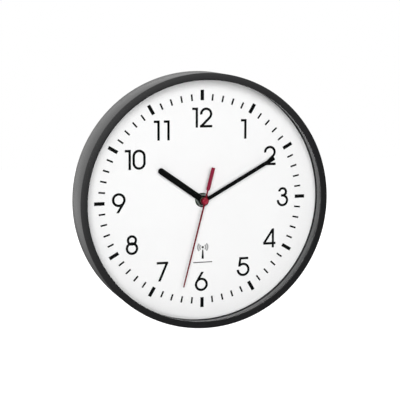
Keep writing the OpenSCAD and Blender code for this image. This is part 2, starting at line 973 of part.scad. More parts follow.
module second_coil_bobbin() {
    color("white") at_second_rotor() coil_bobbin();
}

module minute_coil_bobbin() {
    color("white") at_minute_rotor() coil_bobbin();
}

module second_coil_winding() {
    color([0.7, 0.35, 0.15]) at_second_rotor() coil_winding();
}

module minute_coil_winding() {
    color([0.7, 0.35, 0.15]) at_minute_rotor() coil_winding();
}

// Movement case

// A blind bearing, open towards the wall
module floor_boss(at, r, bore_r, tip) {
    bottom_t = 0.2;
    translate([at[0], at[1], 0]) {
        annulus(r, bore_r, tip, mv_inside - bottom_t);
        rod(r, mv_inside - bottom_t, mv_inside + eps);
    }
}

module movement_front_case() {
    x = mv_w / 2;
    top = mv_inside + eps;
    wheel_bore_r = journal_r + run;
    rotor_bore_r = pivot_r + run;
    color([0.12, 0.12, 0.13]) hung() difference() {
        union() {
            difference() {
                round_block(-x, mv_bottom, x, mv_top, corner_r, cover_front, mv_front);
                block(-inner_x, mv_split + mv_wall, inner_x, mv_top - mv_wall, 0, mv_inside);
                block(-inner_x, mv_bottom + mv_wall, inner_x, mv_split, 0, mv_inside);
            }
            rod(bush_d / 2, mv_front - eps, bush_top);
            for (p = pin_at) translate([p[0], p[1], 0]) rod(pin_r, mv_front - eps, plate_front - 0.2);
            for (p = post_at) translate([p[0], p[1], 0]) rod(post_r, mid_layer[1], top);
            for (side = [-1, 1]) translate([side * board_stud_x, board_stud_y, 0])
                rod(board_stud_r, board_layer[1], top);
            translate([reversing_at[0], reversing_at[1], 0]) rod(stud_r, minute_layer[1] + 0.2, top);
            for (p = [third_at, intermediate_at]) floor_boss(p, wheel_boss_r, wheel_bore_r, wheel_boss_tip);
            for (p = [second_rotor_at, minute_rotor_at])
                floor_boss(p, rotor_boss_r, rotor_bore_r, rotor_boss_tip);
            for (side = [-1, 1]) translate([side * cradle_x, rod_y, 0])
                block(-cradle_half_w, -cradle_half_h, cradle_half_w, cradle_half_h, rod_h, top);
        }
        rod(hour_pipe_r + 0.08, mv_inside - 1, bush_top + 1);
        translate([-rod_l / 2 - 1, rod_y, rod_h]) rotate([0, 90, 0]) cylinder(r = rod_r, h = rod_l + 2);
        for (side = [0, 1]) mirror([side, 0, 0]) neck_passage();
    }
}

// Where a contact strip passes the wall between the bay and the board
module neck_passage() {
    block(inner_x - contact_t - neck_play, mv_split - 1, inner_x, mv_split + mv_wall + 1,
        neck_layer[0] - neck_play, neck_layer[1] + neck_play);
}

module movement_middle_plate() {
    half_w = 27.5;
    low = -13;
    high = 22.4;
    color([0.85, 0.85, 0.82]) hung() difference() {
        round_block(-half_w, low, half_w, high, plate_corner_r, mid_layer[0], mid_layer[1]);
        rod(arbor_r + run, mid_layer[0] - 1, mid_layer[1] + 1);
        for (p = [third_at, intermediate_at]) translate([p[0], p[1], 0])
            rod(journal_r + run, mid_layer[0] - 1, mid_layer[1] + 1);
        for (p = [second_rotor_at, minute_rotor_at]) translate([p[0], p[1], 0])
            rod(pivot_r + run, mid_layer[0] - 1, mid_layer[1] + 1);
    }
}

module movement_rear_cover() {
    x = mv_w / 2;
    rib_t = 1;
    rib_x = inner_x - 0.2;
    rib_low = mv_split + mv_wall + 0.2;
    rib_high = mv_top - mv_wall - 0.2;
    color([0.14, 0.14, 0.15]) hung() difference() {
        union() {
            round_block(-x, mv_split, x, mv_top, corner_r, cover_back, cover_front);
            difference() {
                block(-rib_x, rib_low, rib_x, rib_high, cover_front - eps, cover_front + rib_t);
                block(-rib_x + rib_t, rib_low + rib_t, rib_x - rib_t, rib_high - rib_t,
                    cover_front - 1, cover_front + rib_t + 1);
            }
        }
        for (side = [-1 : 1]) translate([side * button_x, button_y, 0])
            rod(button_r + run, cover_back - 1, cover_front + 1);
    }
}

// Board

module circuit_board() {
    half_w = 27;
    low = -25.5;
    high = -14;
    color([0.1, 0.35, 0.2]) hung() block(-half_w, low, half_w, high, board_layer[0], board_layer[1]);
}

module receiver_chip() {
    drop_r = 3.5;
    drop_t = 1.2;
    ball_r = (drop_r * drop_r + drop_t * drop_t) / (2 * drop_t);
    color([0.05, 0.05, 0.05]) hung() intersection() {
        translate([-button_x / 2, button_y, board_layer[0] - drop_t + ball_r]) sphere(r = ball_r);
        translate([-button_x / 2, button_y, 0]) rod(drop_r + 1, board_layer[0] - drop_t - 1, board_layer[0]);
    }
}

module crystals() {
    can_r = 1;
    can_l = 6;
    apart = 4;
    color("silver") hung() for (side = [-0.5, 0.5])
        translate([(button_x - can_l) / 2, button_y + side * apart, board_layer[0] - can_r])
            rotate([0, 90, 0]) cylinder(r = can_r, h = can_l);
}

module board_switches() {
    half_w = 2.2;
    body_back = board_layer[0] - 1.6;
    plunger_r = 1;
    plunger_l = 0.5;
    color([0.2, 0.2, 0.2]) hung() for (side = [-1 : 1]) translate([side * button_x, button_y, 0]) {
        block(-half_w, -half_w, half_w, half_w, body_back, board_layer[0]);
        rod(plunger_r, body_back - plunger_l, body_back + eps);
    }
}

// A push button: its cap in a hole of the rear cover, a flange that keeps it in, a stem to the switch
module button(x) {
    cap_back = 0.2;
    flange_low = cover_front + 0.1;
    flange_high = cover_front + 0.8;
    stem_r = 1.2;
    stem_high = cover_front + 1.9;
    color([0.75, 0.75, 0.75]) hung() translate([x, button_y, 0]) {
        rod(button_r, cap_back, flange_low + eps);
        rod(button_r + 0.8, flange_low, flange_high);
        rod(stem_r, flange_high - eps, stem_high);
    }
}

module reset_button() {
    button(-button_x);
}

module set_button() {
    button(0);
}

module signal_button() {
    button(button_x);
}

// Antenna

module antenna_rod() {
    color([0.2, 0.2, 0.22]) hung() translate([-rod_l / 2, rod_y, rod_h]) rotate([0, 90, 0])
        cylinder(r = rod_r, h = rod_l);
}

module antenna_winding() {
    color([0.7, 0.35, 0.15]) hung() translate([0, rod_y, rod_h]) rotate([0, 90, 0])
        annulus(rod_r + winding_t, rod_r, -winding_half_l, winding_half_l);
}

// Battery and its contacts

module battery() {
    nub_l = 1;
    nub_r = 2.75;
    edge = 0.6;
    r = cell_d / 2;
    can_l = cell_l - nub_l;
    color([0.75, 0.75, 0.72]) hung() translate([-cell_l / 2, cell_y, cell_h]) rotate([0, 90, 0])
        rotate_extrude() polygon([
            [0, 0],
            [r - edge, 0],
            [r, edge],
            [r, can_l - edge],
            [r - edge, can_l],
            [nub_r, can_l],
            [nub_r, cell_l],
            [0, cell_l]
        ]);
}

// A strip on the right end wall of the bay, with a neck that leads to the board
module contact_strip() {
    x = inner_x - contact_t;
    neck_end = mv_split + mv_wall + 2;
    block(x, cell_y - strip_half_w, inner_x, cell_y + strip_half_w, strip_layer[0], strip_layer[1]);
    block(x, cell_y + strip_half_w - eps, inner_x, neck_end, neck_layer[0], neck_layer[1]);
}

module positive_contact() {
    tip_x = cell_l / 2 + contact_gap;
    knob_r = 3;
    color("silver") hung() {
        contact_strip();
        translate([tip_x, cell_y, cell_h]) rotate([0, 90, 0])
            cylinder(r = knob_r, h = inner_x - contact_t - tip_x + eps);
    }
}

// The negative side is a leaf that bows towards the cell
module negative_contact() {
    tip_x = -cell_l / 2 - contact_gap;
    root_x = -inner_x + contact_t;
    leaf_w = 6.4;
    color("silver") hung() {
        mirror([1, 0, 0]) contact_strip();
        from(cell_h - leaf_w / 2) linear_extrude(leaf_w) polygon([
            [root_x - eps, cell_y - 6.2],
            [root_x + contact_t, cell_y - 6.2],
            [tip_x, cell_y - 0.8],
            [tip_x, cell_y + 0.8],
            [root_x + contact_t + 0.3, cell_y + 5.4],
            [root_x + 0.3, cell_y + 5.2],
            [tip_x - contact_t, cell_y + 0.6],
            [tip_x - contact_t, cell_y - 0.6]
        ]);
    }
}

case_rim();
front_glass();
spacer_ring();
dial_sheet();
numerals();
hour_marks();
minute_marks();
radio_symbol();
carrier_plate();
hanger_bracket();
hanger_screws();
bush_washer();
bush_nut();
hour_hand();
hour_hand_collet();
minute_hand();
minute_hand_collet();
second_hand();
second_hand_hub();
movement_front_case();
movement_middle_plate();
movement_rear_cover();
hour_wheel();
minute_wheel();
reversing_wheel();
third_wheel();
second_wheel();
second_arbor();
intermediate_wheel();
second_rotor_pinion();
second_rotor_magnet();
minute_rotor_pinion();
minute_rotor_magnet();
second_stator();
minute_stator();
second_coil_bobbin();
minute_coil_bobbin();
second_coil_winding();
minute_coil_winding();
antenna_rod();
antenna_winding();
circuit_board();
receiver_chip();
crystals();
board_switches();
positive_contact();
negative_contact();
battery();
reset_button();
set_button();
signal_button();
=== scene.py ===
import math

import bpy
from mathutils import Matrix, Vector


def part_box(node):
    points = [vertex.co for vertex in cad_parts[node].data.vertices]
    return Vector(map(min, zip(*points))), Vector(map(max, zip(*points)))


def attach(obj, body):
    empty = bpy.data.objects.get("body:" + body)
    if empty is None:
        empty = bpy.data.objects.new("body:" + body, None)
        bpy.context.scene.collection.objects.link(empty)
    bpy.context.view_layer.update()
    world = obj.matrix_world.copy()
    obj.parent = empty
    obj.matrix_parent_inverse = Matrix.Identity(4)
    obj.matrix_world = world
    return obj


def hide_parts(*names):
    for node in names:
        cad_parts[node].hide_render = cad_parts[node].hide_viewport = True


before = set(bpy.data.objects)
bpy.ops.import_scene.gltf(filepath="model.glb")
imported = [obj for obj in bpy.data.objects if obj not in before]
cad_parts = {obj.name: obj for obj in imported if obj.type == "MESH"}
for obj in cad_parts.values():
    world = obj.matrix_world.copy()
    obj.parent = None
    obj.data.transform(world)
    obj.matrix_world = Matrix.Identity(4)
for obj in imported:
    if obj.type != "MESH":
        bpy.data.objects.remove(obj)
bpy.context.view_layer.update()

# Camera. A long lens a good metre from the dial, to its left and a little above it.
# The clock hangs in the air, so every place below is counted from the hand axis and from the wall.
MM = 0.001
dial_low, dial_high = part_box("dial_sheet")
axis = Vector((0, 0, (dial_low.z + dial_high.z) / 2))
camera_yaw = math.radians(16.957)
camera_pitch = math.radians(7.818)
camera_roll = math.radians(0.097)
camera_distance = 1.0595
sensor_width = 36
lens = 97.46
near_clip = 0.05
picture_side = 400
dial_off_centre = (2.13, 0.09)

backwards = Vector((
    -math.sin(camera_yaw) * math.cos(camera_pitch),
    -math.cos(camera_yaw) * math.cos(camera_pitch),
    math.sin(camera_pitch),
))
level_right = (-backwards).cross(Vector((0, 0, 1))).normalized()
level_up = backwards.cross(level_right)
right = level_right * math.cos(camera_roll) + level_up * math.sin(camera_roll)
up = level_up * math.cos(camera_roll) - level_right * math.sin(camera_roll)
bpy.ops.object.camera_add()
camera = bpy.context.object
camera.data.sensor_width = sensor_width
camera.data.lens = lens
camera.data.shift_x = -dial_off_centre[0] / picture_side
camera.data.shift_y = -dial_off_centre[1] / picture_side
camera.data.clip_start = near_clip
camera.matrix_world = (
    Matrix.Translation(axis + Vector((0, dial_low.y, 0)) + backwards * camera_distance)
    @ Matrix((right, up, backwards)).transposed().to_4x4()
)
bpy.context.scene.camera = camera
bpy.context.scene.view_settings.view_transform = "Standard"

# Studio. One square softbox a little to the upper left of the camera gives nearly all the light in front;
# a weaker one and pale paper light the back. In gloss the paper is mirrored: it is white at the upper
# left, above and behind, and falls off towards the lower right of the room.
background = 1.0
ambient_ahead = 0.10
ambient_behind = 0.60
ambient_turn = (0.0, 0.7)
paper_axis = Vector((-0.6, 0, 0.8))
paper_black = -0.56
paper_white = 0.0
paper_least = 0.15
paper_behind = 0.6
paper_turn = (-0.3, 0.6)
softbox_edge = (0.22, 0.45)
softbox_ahead = (-0.95, -0.6)
softbox_bright = 2.5
lamps = [
    ("softbox", Vector((-0.66, -3.2, 0.66)), 1.9, 120),
    ("back_softbox", Vector((-1.2, 2.2, 2.0)), 1.0, 90),
]
floor_z = -0.5
floor_side = 8
floor_colour = (0.4, 0.4, 0.4)
floor_glow_near = 0.78
floor_glow_far = 1.0
floor_fade = (0.3, 2.5)


class Amount:
    """A number that changes over a surface: a node's socket that Python's operators work on."""

    def __init__(self, graph, socket):
        self.graph = graph
        self.socket = socket

    def combined(self, operation, first, second):
        return self.graph.node("ShaderNodeMath", {"operation": operation}, {0: first, 1: second})

    def __add__(self, other):
        return self.combined("ADD", self, other)

    def __sub__(self, other):
        return self.combined("SUBTRACT", self, other)

    def __rsub__(self, other):
        return self.combined("SUBTRACT", other, self)

    def __mul__(self, other):
        return self.combined("MULTIPLY", self, other)

    def __gt__(self, other):
        return self.combined("GREATER_THAN", self, other)

    __radd__ = __add__
    __rmul__ = __mul__


class Graph:
    """The nodes of a material or of the world."""

    def __init__(self, tree):
        self.tree = tree
        tree.nodes.clear()

    def node(self, kind, settings=None, inputs=None, output=0):
        """Adds a node: first its settings, then what its sockets hold or are linked to."""
        made = self.tree.nodes.new(kind)
        for name, value in (settings or {}).items():
            setattr(made, name, value)
        for name, value in (inputs or {}).items():
            if isinstance(value, Amount):
                self.tree.links.new(value.socket, made.inputs[name])
            else:
                made.inputs[name].default_value = value
        return Amount(self, made.outputs[output]) if made.outputs else None

    def span(self, amount, low, high, at_low=0.0, at_high=1.0):
        """Stretches the part of an amount between low and high over a new span, and holds the ends."""
        return self.node("ShaderNodeMapRange", {"clamp": True},
                         {0: amount, 1: low, 2: high, 3: at_low, 4: at_high})

    def pick(self, share, first, second):
        """The first number, turning into the second as share goes from 0 to 1."""
        return self.node("ShaderNodeMix", {"data_type": "FLOAT"}, {0: share, 2: first, 3: second})

    def tint(self, share, first, second):
        """The first colour, turning into the second as share goes from 0 to 1."""
        ends = [c if isinstance(c, Amount) else (*c, 1) for c in (first, second)]
        return self.node("ShaderNodeMix", {"data_type": "RGBA"},
                         {0: share, 6: ends[0], 7: ends[1]}, output=2)


def along(graph, place, way):
    """How far a place, or a direction, reaches along a way."""
    return graph.node("ShaderNodeVectorMath", {"operation": "DOT_PRODUCT"}, {0: place, 1: way}, "Value")


def rays(graph, kind):
    """1 for the rays of one kind, else 0."""
    return graph.node("ShaderNodeLightPath", output=f"Is {kind} Ray")


def mirrored_paper(graph, direction):
    """How bright the paper and the softbox look in a glossy surface, towards a direction."""
    upper_left = along(graph, direction, paper_axis)
    behind = along(graph, direction, (0, 1, 0))
    level = graph.span(upper_left, paper_black, paper_white)
    softbox = (graph.span(upper_left, *softbox_edge)
               * graph.span(behind, *softbox_ahead, softbox_bright, 0))
    sheets = graph.node("ShaderNodeMath", {"operation": "MAXIMUM"}, {0: level * level, 1: paper_least})
    return sheets * graph.span(behind, *paper_turn, background, paper_behind) + softbox


studio = bpy.data.worlds.new("studio")
studio.use_nodes = True
bpy.context.scene.world = studio
sky = Graph(studio.node_tree)
direction = sky.node("ShaderNodeTexCoord", output="Generated")
behind = along(sky, direction, (0, 1, 0))
soft_light = sky.span(behind, *ambient_turn, ambient_ahead, ambient_behind)
plain = rays(sky, "Camera") + rays(sky, "Transmission")
gloss = rays(sky, "Glossy")
strength = sky.pick(plain, sky.pick(gloss, soft_light, mirrored_paper(sky, direction)), background)
surround = sky.node("ShaderNodeBackground", inputs={"Color": (1, 1, 1, 1), "Strength": strength})
sky.node("ShaderNodeOutputWorld", inputs={"Surface": surround})

for lamp_name, lamp_from, lamp_side, lamp_watts in lamps:
    bpy.ops.object.light_add(type="AREA", location=axis + lamp_from)
    lamp = bpy.context.object
    lamp.name = lamp_name
    lamp.data.size = lamp_side
    lamp.data.energy = lamp_watts
    lamp.rotation_euler = (-lamp_from).to_track_quat("-Z", "Y").to_euler()
    lamp.visible_glossy = False
    lamp.visible_camera = False

paper = bpy.data.materials.new("floor_paper")
paper.use_nodes = True
sheet = Graph(paper.node_tree)
place = sheet.node("ShaderNodeTexCoord", output="Object")
from_clock = sheet.node("ShaderNodeVectorMath", {"operation": "NORMALIZE"}, {0: sheet.node(
    "ShaderNodeVectorMath", {"operation": "ADD"}, {0: place, 1: (0, 0, floor_z - axis.z)})})
far_off = sheet.node("ShaderNodeVectorMath", {"operation": "LENGTH"}, {0: place}, "Value")
glow = sheet.span(far_off, *floor_fade, floor_glow_near, floor_glow_far)
matt = sheet.node("ShaderNodeAddShader", inputs={
    0: sheet.node("ShaderNodeEmission",
                  inputs={"Strength": (rays(sheet, "Camera") + rays(sheet, "Transmission")) * glow}),
    1: sheet.node("ShaderNodeBsdfDiffuse", inputs={"Color": (*floor_colour, 1)})})
mirror_image = sheet.node("ShaderNodeEmission", inputs={"Strength": mirrored_paper(sheet, from_clock)})
either = sheet.node("ShaderNodeMixShader", inputs={0: rays(sheet, "Glossy"), 1: matt, 2: mirror_image})
sheet.node("ShaderNodeOutputMaterial", inputs={"Surface": either})

bpy.ops.object.select_all(action="DESELECT")
bpy.ops.mesh.primitive_plane_add(size=floor_side, location=(0, 0, floor_z))
floor = bpy.context.object
floor.name = "studio_floor"
floor.data.materials.append(paper)

# Case. One black moulding of semi-gloss ABS: a drafted ring with a front lip that slopes outwards,
# and snap hooks inside. It shows the fine orange peel of a polished tool and light handling marks.
round_sides = 192
merge_within = MM / 1000
sharp_from = math.radians(30)
case_low, case_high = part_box("case_rim")
case_r = case_high.x / MM
case_depth = -case_low.y / MM
foot_round = 0.5
foot_rubbed = (-1.2, -0.2)
front_r = 123.9
lip_r = 117.1
lip_t = 2.5
lip_fall = 0.4
lip_round = 0.4
lip_slope = 85
wall_back_r = 122.6
wall_front_r = 121.5
corner_steps = 6
hook_count = 8
hook_reach_r = 120.3
hook_root_r = 123.2
hook_top = 16.1
hook_w = 10.6
hook_lip = 1
hook_ramp = 5
hook_edge = 0.15


def seat(radius, height, angle=0.0, centre=None):
    """A point at a radius from the hand axis and a height over the wall, in mm, and an angle clockwise
    from twelve. Another axis square to the wall is given by a centre on it."""
    centre = centre or axis
    turn = math.radians(angle)
    return Vector((
        centre.x + radius * MM * math.sin(turn), -height * MM, centre.z + radius * MM * math.cos(turn)
    ))


def arc(x, y, radius, start, end, steps=corner_steps):
    """Points of a round corner of a profile about (x, y), between two angles in degrees."""
    turns = [math.radians(start + (end - start) * i / steps) for i in range(steps + 1)]
    return [(x + radius * math.cos(t), y + radius * math.sin(t)) for t in turns]


def chain(points):
    """Draws a line of vertices through the points, and stays in edit mode with all of it selected."""
    bpy.ops.object.select_all(action="DESELECT")
    bpy.ops.mesh.primitive_plane_add(size=MM)
    bpy.ops.object.mode_set(mode="EDIT")
    bpy.ops.mesh.merge(type="CENTER")
    bpy.ops.transform.translate(value=points[0])
    for start, end in zip(points, points[1:]):
        bpy.ops.mesh.extrude_region_move(TRANSFORM_OT_translate={"value": end - start})
    bpy.ops.mesh.select_all(action="SELECT")
    bpy.ops.mesh.remove_doubles(threshold=merge_within)


def closed_up(name):
    """Merges doubles, turns the faces outwards and leaves edit mode with the piece named and smoothed."""
    bpy.ops.mesh.select_all(action="SELECT")
    bpy.ops.mesh.remove_doubles(threshold=merge_within)
    bpy.ops.mesh.normals_make_consistent(inside=False)
    bpy.ops.object.mode_set(mode="OBJECT")
    piece = bpy.context.object
    piece.name = name
    bpy.ops.object.transform_apply(location=True, rotation=True, scale=True)
    bpy.ops.object.shade_smooth_by_angle(angle=sharp_from)
    return piece


def turned(name, profile, sides=round_sides, centre=None):
    """Turns a profile, (radius, height over the wall) in mm, right round the hand axis or a centre."""
    centre = centre or axis
    points = [seat(r, h, 90, centre) for r, h in profile]
    if profile[0][0] or profile[-1][0]:
        points.append(points[0])
    chain(points)
    bpy.ops.mesh.spin(steps=sides, angle=math.tau, center=centre, axis=(0, 1, 0))
    return closed_up(name)


def plate(name, outline, thickness, edge=0.0):
    """Fills an outline of points and thickens it along the vector; edge rounds all its edges, in mm."""
    chain(outline + [outline[0]])
    bpy.ops.mesh.edge_face_add()
    bpy.ops.mesh.extrude_region_move(TRANSFORM_OT_translate={"value": thickness})
    bpy.ops.mesh.select_all(action="SELECT")
    bpy.ops.mesh.normals_make_consistent(inside=False)
    if edge:
        bpy.ops.mesh.bevel(offset=edge * MM, segments=2, affect="EDGES")
    return closed_up(name)


def joined(name, first, *others):
    """Joins pieces into the first, under a new name."""
    bpy.ops.object.select_all(action="DESELECT")
    for piece in (first, *others):
        piece.select_set(True)
    bpy.context.view_layer.objects.active = first
    bpy.ops.object.join()
    first.name = name
    return first


def copied(piece, moves):
    """Copies a piece once for each move, and joins the copies in its place."""
    name = piece.name
    copies = []
    for move in moves:
        made = piece.copy()
        made.data = piece.data.copy()
        made.data.transform(move)
        bpy.context.collection.objects.link(made)
        copies.append(made)
    bpy.data.objects.remove(piece)
    return joined(name, *copies)


def ringed(piece, count, start):
    """Copies a piece count times round the hand axis, the first one turned by start degrees."""
    turns = [math.radians(start + 360 / count * i) for i in range(count)]
    return copied(piece, [
        Matrix.Translation(axis) @ Matrix.Rotation(turn, 4, "Y") @ Matrix.Translation(-axis)
        for turn in turns
    ])


class Finish(Graph):
    """A surface finish: one shader, whose colour, roughness and relief vary over the object."""

    def __init__(self, name):
        self.material = bpy.data.materials.new(name)
        self.material.use_nodes = True
        super().__init__(self.material.node_tree)
        self.place = self.node("ShaderNodeTexCoord", output="Object")

    def along(self, letter):
        """One coordinate of the surface, in mm: x to the right, y from the room to the wall, z up."""
        part = self.node("ShaderNodeSeparateXYZ", inputs={0: self.place}, output=letter.upper())
        return part * (1 / MM)

    def radius(self):
        """Distance from the hand axis in mm."""
        flat = self.node("ShaderNodeMapping", inputs={
            "Vector": self.place, "Location": (0, 0, -axis.z / MM), "Scale": (1 / MM, 0, 1 / MM)})
        return self.node("ShaderNodeVectorMath", {"operation": "LENGTH"}, {0: flat}, output="Value")

    def blotches(self, size, detail=2.0):
        """Soft random blotches about size mm wide, mostly between 0.3 and 0.7."""
        return self.node("ShaderNodeTexNoise", inputs={
            "Vector": self.place, "Scale": 1 / (size * MM), "Detail": detail, "Roughness": 0.55})

    def pits(self, size):
        """Rounded cells about size mm wide."""
        return self.node("ShaderNodeTexVoronoi", inputs={"Vector": self.place, "Scale": 1 / (size * MM)})

    def relief(self, height, depth):
        """A bump of the given depth in mm."""
        return self.node("ShaderNodeBump", inputs={
            "Height": height, "Distance": depth * MM, "Strength": 1.0})

    def done(self, colour, roughness, normal=None, **others):
        """Closes the finish. Other inputs of the shader are given by name, fixed or varying."""
        inputs = {"Base Color": colour if isinstance(colour, Amount) else (*colour, 1),
                  "Roughness": roughness}
        if normal:
            inputs["Normal"] = normal
        inputs.update({name.replace("_", " "): value for name, value in others.items()})
        shader = self.node("ShaderNodeBsdfPrincipled", inputs=inputs)
        self.node("ShaderNodeOutputMaterial", inputs={"Surface": shader})
        return self.material


def fitted(piece, body, slot, finish, node):
    """Finishes a new piece, lets it ride with a body, and lets it stand for a CAD node."""
    piece.data.materials.clear()
    piece.data.materials.append(finish)
    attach(piece, body)
    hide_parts(node)


def case_plastic():
    finish = Finish("black_case_plastic")
    cloud = finish.blotches(30)
    smear = finish.span(finish.blotches(9, 4), 0.45, 0.7)
    peel = finish.blotches(1.6, 1)
    rubbed = finish.span(finish.along("y"), *foot_rubbed)
    colour = finish.tint(cloud, (0.006, 0.006, 0.0065), (0.011, 0.011, 0.0115))
    colour = finish.tint(rubbed * 0.5, colour, (0.05, 0.05, 0.05))
    roughness = 0.15 + smear * 0.04 + cloud * 0.05 + rubbed * 0.2
    return finish.done(colour, roughness, finish.relief(peel, 0.002))


case_ring = turned("case_ring", [
    (wall_back_r, 0),
    *arc(case_r - foot_round, foot_round, foot_round, -90, 0, steps=4),
    *arc(front_r - lip_round, case_depth - lip_fall - lip_round, lip_round, 0, lip_slope),
    *arc(lip_r + lip_round, case_depth - lip_round, lip_round, lip_slope, 180),
    (lip_r, case_depth - lip_t),
    (wall_front_r, case_depth - lip_t),
])
hook_side = Vector((-hook_w / 2 * MM, 0, 0))
snap_hook = plate("snap_hook", [
    hook_side + seat(hook_root_r, hook_top),
    hook_side + seat(hook_reach_r, hook_top),
    hook_side + seat(hook_reach_r, hook_top - hook_lip),
    hook_side + seat(hook_root_r, hook_top - hook_ramp),
], (hook_w * MM, 0, 0), edge=hook_edge)
snap_hooks = ringed(snap_hook, hook_count, 180 / hook_count)
case_moulding = joined("case_moulding", case_ring, snap_hooks)
fitted(case_moulding, "clock_case", "black_case_plastic", case_plastic(), "case_rim")

# Spacer ring. A satin dark ring of polystyrene that holds the glass off the dial; it is the slanted wall
# that is seen between the dial and the lip. Its foot stands in the gap round the dial sheet.
ring_low, ring_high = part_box("spacer_ring")
ring_outer_r = ring_high.x / MM
ring_back = -ring_high.y / MM
ring_front = -ring_low.y / MM
ring_foot_r = 120.4
ring_head_r = 118.2
ring_round = 0.25


def spacer_plastic():
    finish = Finish("spacer_plastic")
    cloud = finish.blotches(14)
    grain = finish.blotches(0.5, 2)
    colour = finish.tint(cloud, (0.014, 0.014, 0.015), (0.024, 0.024, 0.025))
    return finish.done(colour, 0.2 + cloud * 0.08, finish.relief(grain, 0.002))


spacer = turned("spacer_moulding", [
    (ring_outer_r, ring_back),
    (ring_outer_r, ring_front),
    *arc(ring_head_r + ring_round, ring_front - ring_round, ring_round, 90, 180, steps=3),
    *arc(ring_foot_r + ring_round, ring_back + ring_round, ring_round, 180, 270, steps=3),
])
fitted(spacer, "clock_case", "spacer_plastic", spacer_plastic(), "spacer_ring")

# Dial sheet. Painted aluminium sheet in matt white, with a little dust in its coat.
# The print is screened on it: black for the numerals, the marks and the sign's mast, grey for its waves
# and the rule under it. The ink spreads a little past its screen.
ink_spread = {"numerals": 0.22, "hour_marks": 0.22, "minute_marks": 0.33, "radio_symbol": 0.22}
mast_x = 0.7
mast_side = (1.4, 1.6)
rule_top = -60
flat_within = math.radians(0.6)


def painted(finish, *nodes):
    """Gives CAD nodes, which stay as they are, their finish."""
    for name in nodes:
        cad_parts[name].material_slots[0].material = finish


def softened(name, node, edge=0.0, segments=2, spread=0.0, flats=True):
    """A copy of a CAD node, its triangles merged, spread sideways and its sharp edges rounded, in mm.
    Flats with holes that can't be one face each are merged in quads only."""
    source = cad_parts[node]
    piece = bpy.data.objects.new(name, source.data.copy())
    bpy.context.collection.objects.link(piece)
    bpy.ops.object.select_all(action="DESELECT")
    piece.select_set(True)
    bpy.context.view_layer.objects.active = piece
    bpy.ops.mesh.customdata_custom_splitnormals_clear()
    bpy.ops.object.mode_set(mode="EDIT")
    bpy.ops.mesh.select_all(action="SELECT")
    bpy.ops.mesh.remove_doubles(threshold=merge_within / 2)
    if flats:
        bpy.ops.mesh.dissolve_limited(angle_limit=flat_within)
    else:
        bpy.ops.mesh.tris_convert_to_quads(face_threshold=flat_within)
    bpy.ops.mesh.select_all(action="DESELECT")
    bpy.ops.mesh.select_interior_faces()
    bpy.ops.mesh.delete(type="FACE")
    bpy.ops.mesh.select_all(action="SELECT")
    if spread:
        low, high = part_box(node)
        thick = (high.y - low.y) / MM
        bpy.ops.transform.shrink_fatten(value=spread * MM, use_even_offset=True)
        bpy.ops.transform.resize(value=(1, thick / (thick + 2 * spread), 1),
                                 center_override=(low + high) / 2)
    bpy.ops.object.mode_set(mode="OBJECT")
    bpy.ops.object.shade_smooth_by_angle(angle=sharp_from)
    if edge:
        bpy.ops.object.modifier_add(type="BEVEL")
        rounding = piece.modifiers[-1]
        rounding.width = edge * MM
        rounding.segments = segments
        rounding.limit_method = "ANGLE"
        rounding.angle_limit = sharp_from
        rounding.use_clamp_overlap = False
        rounding.harden_normals = True
        bpy.ops.object.modifier_apply(modifier=rounding.name)
    return piece


def dial_white():
    finish = Finish("dial_white")
    cloud = finish.blotches(60)
    fleck = finish.span(finish.blotches(1.2, 3), 0.66, 0.74)
    colour = finish.tint(cloud, (0.90, 0.90, 0.90), (0.93, 0.93, 0.93))
    colour = finish.tint(fleck * 0.12, colour, (0.75, 0.74, 0.72))
    grain = finish.blotches(0.25, 2)
    return finish.done(colour, 0.5 + cloud * 0.12, finish.relief(grain, 0.002), Specular_IOR_Level=0.35)


def black_ink():
    finish = Finish("black_ink")
    cloud = finish.blotches(6)
    screen = finish.blotches(0.18, 1)
    colour = finish.tint(cloud, (0.0015, 0.0015, 0.0015), (0.004, 0.004, 0.004))
    return finish.done(colour, 0.55 + cloud * 0.15, finish.relief(screen, 0.003), Specular_IOR_Level=0.05)


def sign_ink():
    finish = Finish("grey_ink")
    cloud = finish.blotches(2)
    off_mast = finish.node("ShaderNodeMath", {"operation": "ABSOLUTE"}, {0: finish.along("x") - mast_x})
    above = finish.along("z") > (axis.z / MM + rule_top)
    dark = finish.tint(cloud, (0.003, 0.003, 0.003), (0.008, 0.008, 0.008))
    pale = finish.tint(cloud, (0.31, 0.31, 0.31), (0.37, 0.37, 0.37))
    sign = finish.tint(finish.span(off_mast, *mast_side), dark, pale)
    colour = finish.tint(above, (0.13, 0.13, 0.13), sign)
    return finish.done(colour, 0.5 + cloud * 0.1, Specular_IOR_Level=0.3)


painted(dial_white(), "dial_sheet")
inks = {"radio_symbol": ("grey_ink", sign_ink())}
black = ("black_ink", black_ink())
for node, spread in ink_spread.items():
    ink = softened(node + "_ink", node, spread=spread)
    fitted(ink, "clock_case", *inks.get(node, black), node)

# Front glass. A disc of 2 mm float glass, cleaned but with faint smudges, its edge ground.
# It is held between the spacer ring and the lip.
glass_low, glass_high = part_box("front_glass")
glass_r = glass_high.x / MM
glass_back = -glass_high.y / MM
glass_front = -glass_low.y / MM
ground_edge = 0.3
veil_square_on = 0.03
veil_edge_on = 0.75


def clear_glass():
    finish = Finish("clear_glass")
    smudge = finish.span(finish.blotches(40, 4), 0.5, 0.75)
    facing = finish.node("ShaderNodeLayerWeight", inputs={"Blend": 0.18}, output="Facing")
    veil = finish.span(facing, 0.25, 1.0, veil_square_on, veil_edge_on)
    finish.material.blend_method = "BLEND"
    return finish.done((0.02, 0.026, 0.025), 0.02 + smudge * 0.05, Alpha=veil + smudge * 0.004)


